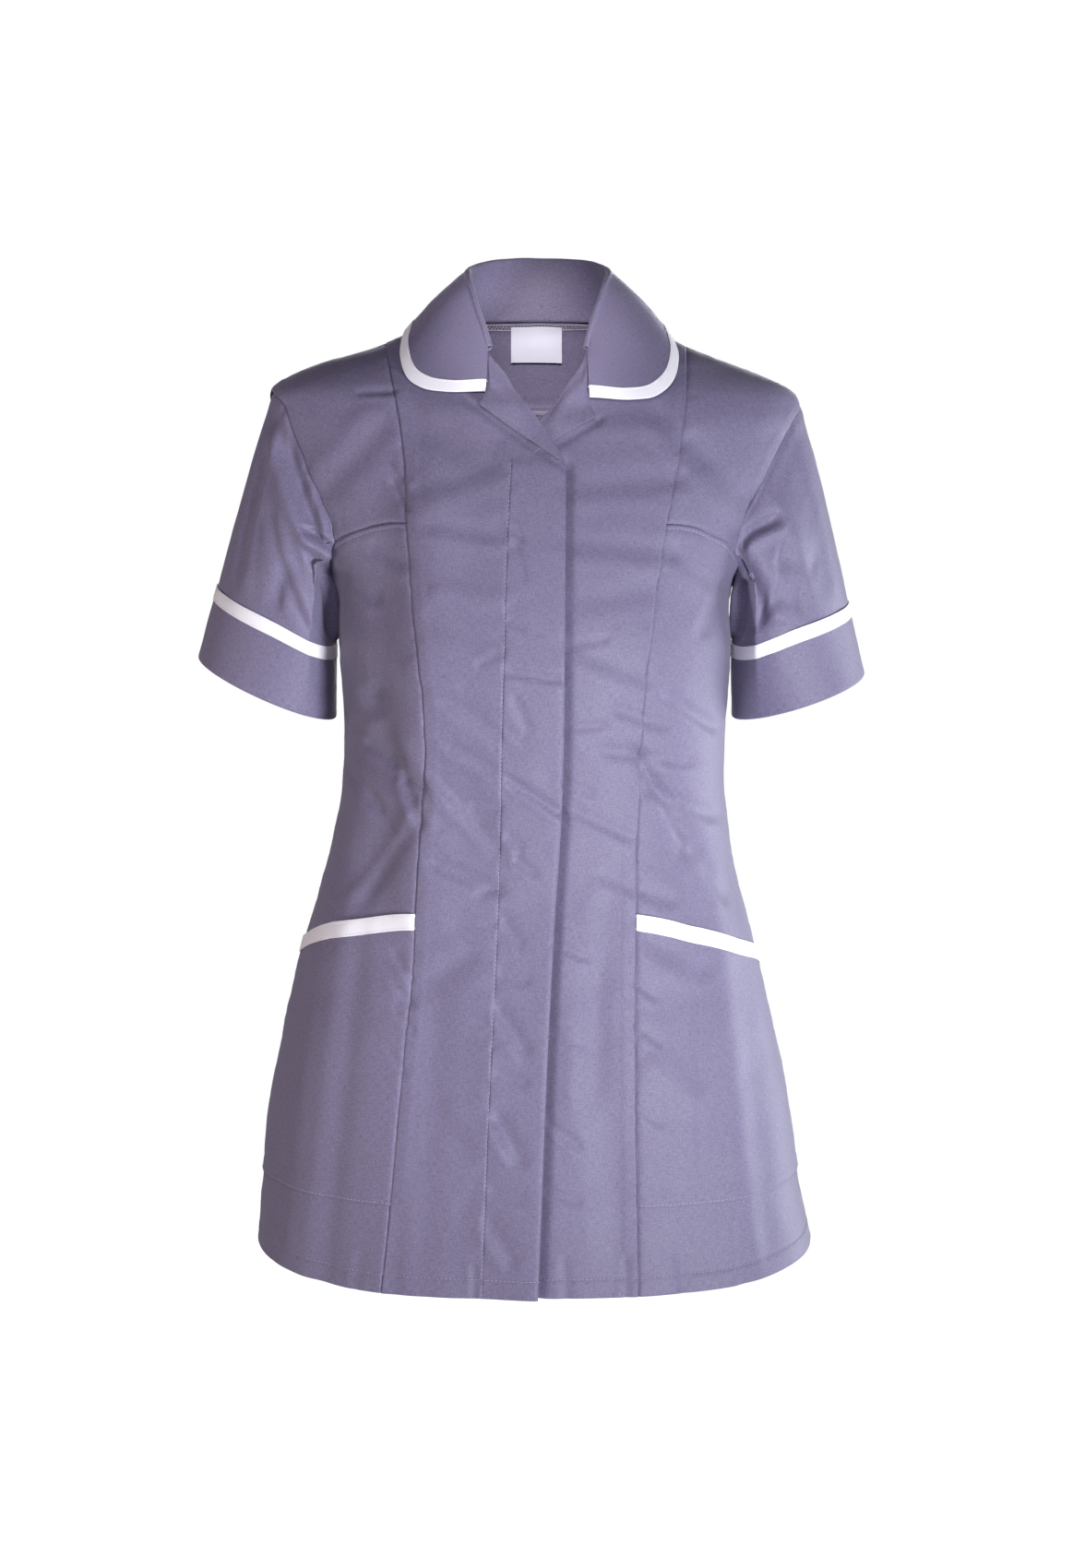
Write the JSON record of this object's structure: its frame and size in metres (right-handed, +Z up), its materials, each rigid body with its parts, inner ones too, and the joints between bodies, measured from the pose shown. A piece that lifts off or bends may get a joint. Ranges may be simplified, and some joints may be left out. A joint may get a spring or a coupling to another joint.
{
  "type": "work tunic",
  "caption": "Short-sleeved work tunic, hollow as worn: princess seams, covered front fastening, turned-down collar with revers, patch pockets and taped, turned-back cuffs.",
  "frame": {"origin": "midway between the shoulders at the height of the neck points, where the wearer's shoulders carry it", "axes": "+Z up the body, -Y is the front of the garment, +X towards the wearer's left"},
  "size_m": [0.5035, 0.2487, 0.753],
  "materials": {
    "cloth": "lilac-grey plain-weave polycotton, matt with a faint sheen",
    "tape": "white woven contrast tape, matt",
    "label": "bare woven label, off-white, slightly satin"
  },
  "bodies": {
    "root": {"back": "cloth", "back_yoke": "cloth", "collar": "cloth", "collar_tape": "tape", "cuff_left": "cloth", "cuff_right": "cloth", "cuff_tape_left": "tape", "cuff_tape_right": "tape", "front_left": "cloth", "front_right": "cloth", "label": "label", "pocket_left": "cloth", "pocket_right": "cloth", "pocket_tape_left": "tape", "pocket_tape_right": "tape", "rever_left": "cloth", "rever_right": "cloth", "side_front_left": "cloth", "side_front_right": "cloth", "sleeve_left": "cloth", "sleeve_right": "cloth", "upper_front_left": "cloth", "upper_front_right": "cloth"}
  },
  "joints": []
}
